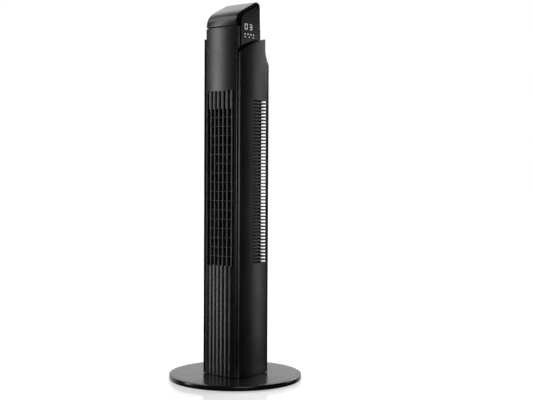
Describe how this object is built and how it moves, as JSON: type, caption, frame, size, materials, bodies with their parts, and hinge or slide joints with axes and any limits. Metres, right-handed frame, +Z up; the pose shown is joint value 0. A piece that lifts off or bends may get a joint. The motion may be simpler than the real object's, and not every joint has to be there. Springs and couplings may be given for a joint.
{
  "type": "tower fan",
  "caption": "Oscillating tower fan: slim black column with a front air outlet, side vents and a glossy sloping head with a side display, turning on a round base.",
  "frame": {"origin": "centre of the round base on the floor", "axes": "+Z up along the column, -Y the way the air leaves, +X the side that carries the display"},
  "size_m": [0.32, 0.32, 0.906],
  "materials": {
    "base_black": "satin",
    "rubber": "matte",
    "steel": "brushed",
    "zinc_shell": "satin",
    "nylon": "satin",
    "shell_black": "satin",
    "front_black": "satin",
    "grille_black": "satin",
    "head_gloss": "gloss",
    "display_glass": "gloss",
    "circuit_green": "satin",
    "part_black": "matte",
    "lit_white": "matte",
    "duct_grey": "matte",
    "bronze": "satin"
  },
  "bodies": {
    "base": {"base_disc": "base_black", "base_weight": "steel", "base_cover": "base_black", "rubber_feet": "rubber", "base_screws": "steel", "swivel_hub": "nylon", "hub_screws": "steel", "swivel_washer": "nylon", "retainer_ring": "steel", "fixed_gear": "nylon", "circlip": "steel"},
    "column": {"foot_plate": "shell_black", "foot_screws": "steel", "front_panel": "front_black", "outlet_grille": "grille_black", "side_panel_right": "shell_black", "side_panel_left": "shell_black", "rear_cover": "shell_black", "rear_screws": "steel", "handle_recess": "shell_black", "head_cap": "head_gloss", "display_lens": "display_glass", "display_board": "circuit_green", "lit_digits": "lit_white", "status_icons": "lit_white", "lower_deck": "duct_grey", "upper_deck": "duct_grey", "scroll_wall": "duct_grey", "vortex_wall": "duct_grey", "bearing_rubber": "rubber", "bearing_bush": "bronze", "motor_shell_lower": "zinc_shell", "motor_shell_upper": "zinc_shell", "motor_stator": "bronze", "motor_bushes": "bronze", "motor_mounts": "rubber", "motor_screws": "steel", "control_board": "circuit_green", "board_parts": "part_black", "run_capacitor": "nylon", "osc_bracket": "steel", "osc_motor": "zinc_shell", "osc_screws": "steel", "cord_inlet": "grille_black"},
    "blower": {"blower_wheel": "duct_grey", "motor_shaft": "steel", "motor_rotor": "duct_grey", "top_journal": "steel"},
    "pinion": {"osc_pinion": "nylon"}
  },
  "joints": [
    {"name": "column_swivel", "type": "hinge", "parent": "base", "child": "column", "pos_m": [0, 0, 0.013], "axis": [0, 0, 1], "range_deg": [-35, 35]},
    {"name": "blower_spin", "type": "hinge", "parent": "column", "child": "blower", "pos_m": [0, 0.004, 0.3], "axis": [0, 0, 1], "continuous": true},
    {"name": "pinion_spin", "type": "hinge", "parent": "column", "child": "pinion", "pos_m": [0, 0.03015, 0.045], "axis": [0, 0, 1], "range_deg": [-150, 150]}
  ],
  "couplings": [
    {"joint": "pinion_spin", "follows": "column_swivel", "ratio": 4}
  ]
}
